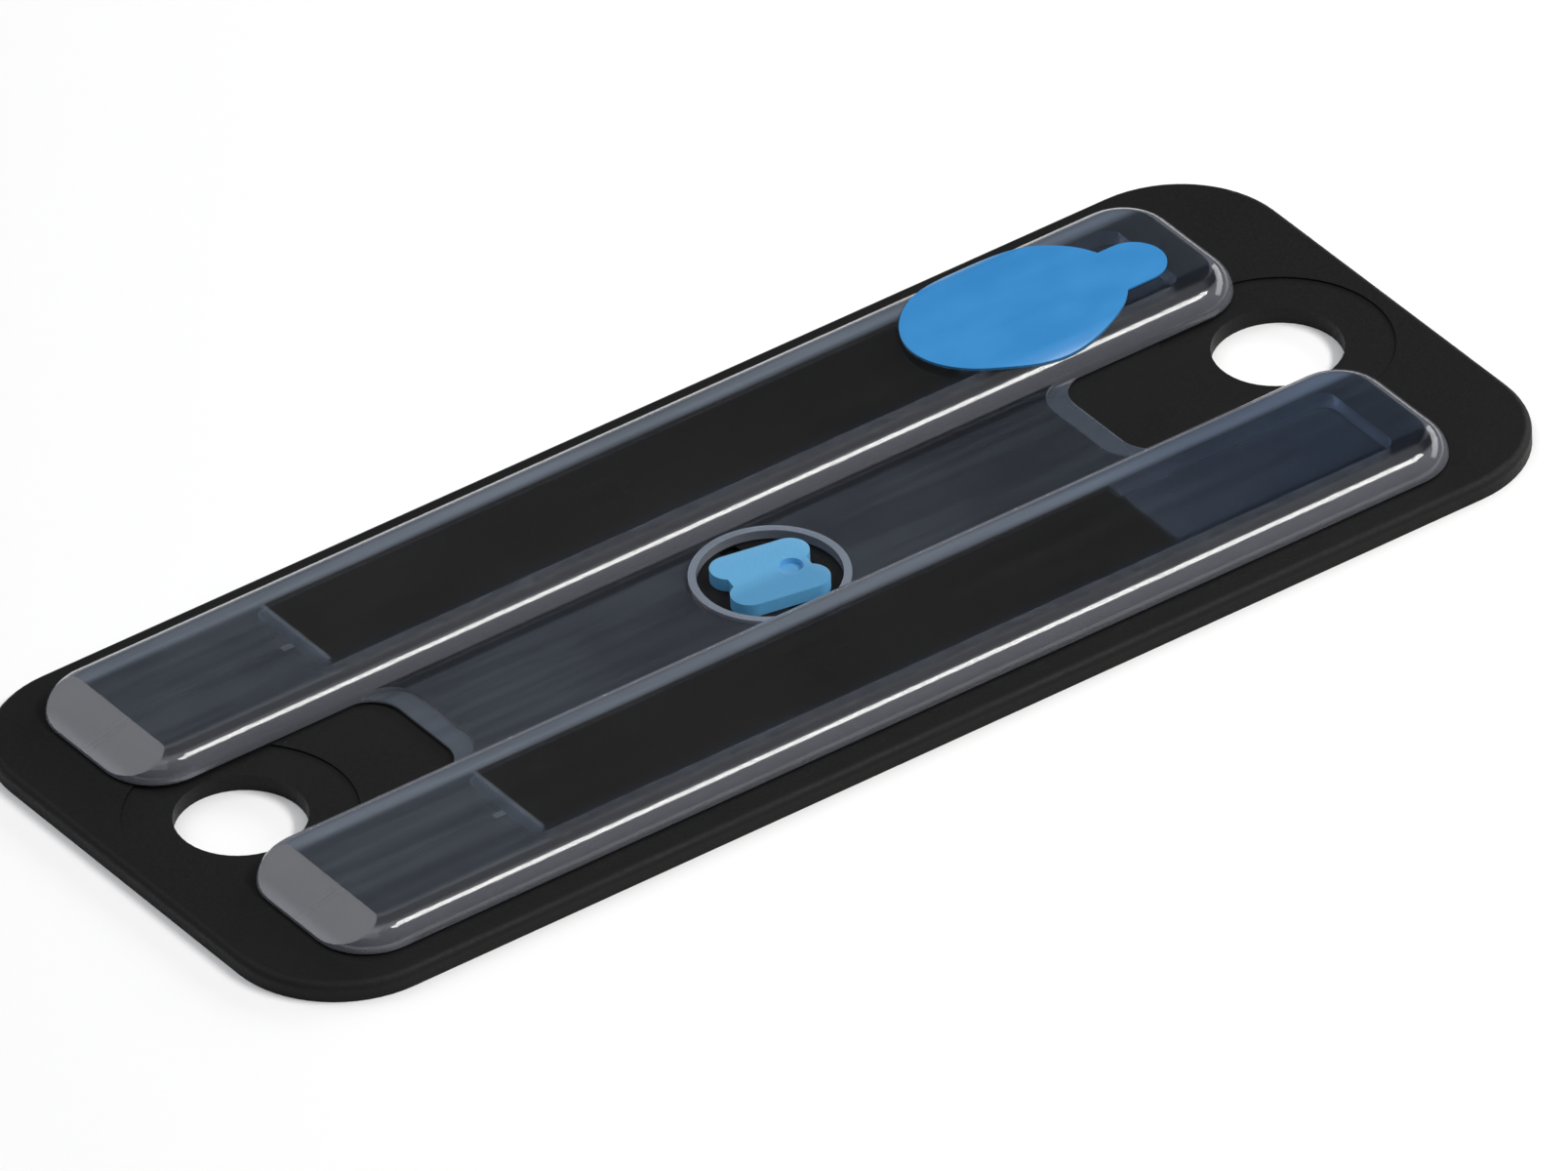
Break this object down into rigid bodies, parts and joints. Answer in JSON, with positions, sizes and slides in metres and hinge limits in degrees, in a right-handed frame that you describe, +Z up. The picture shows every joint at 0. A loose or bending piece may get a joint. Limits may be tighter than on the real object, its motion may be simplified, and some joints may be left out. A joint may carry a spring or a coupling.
{
  "type": "hemocytometer",
  "caption": "Two-lane counting chamber: black slide plate, clear H-shaped cover over counting beds, peel-off port seal and lobed inlet stopper.",
  "frame": {"origin": "centre of the plate's underside", "axes": "+X along the lanes towards the port end, +Y towards the rear lane, +Z up"},
  "size_m": [0.076, 0.031, 0.0026],
  "materials": {
    "plate": "satin",
    "bed": "smooth",
    "tape": "matte",
    "bond": "dark adhesive film",
    "cover": "clear, slightly milky plastic, polished over the beds",
    "adhesive": "milky adhesive",
    "seal": "satin film",
    "stopper": "soft satin"
  },
  "bodies": {
    "chamber": {"base_plate": "plate", "rear_bed_tape": "tape", "front_bed_tape": "tape", "rear_bed": "bed", "front_bed": "bed", "bond_film": "bond", "lane_cover": "cover"},
    "seal": {"seal_adhesive": "adhesive", "port_seal": "seal"},
    "stopper": {"inlet_stopper": "stopper"}
  },
  "joints": [
    {"name": "seal_lift", "type": "slide", "parent": "chamber", "child": "seal", "axis": [0, 0, 1], "range_m": [0, 0.01]},
    {"name": "stopper_pull", "type": "slide", "parent": "chamber", "child": "stopper", "axis": [0, 0, 1], "range_m": [0, 0.006]}
  ]
}
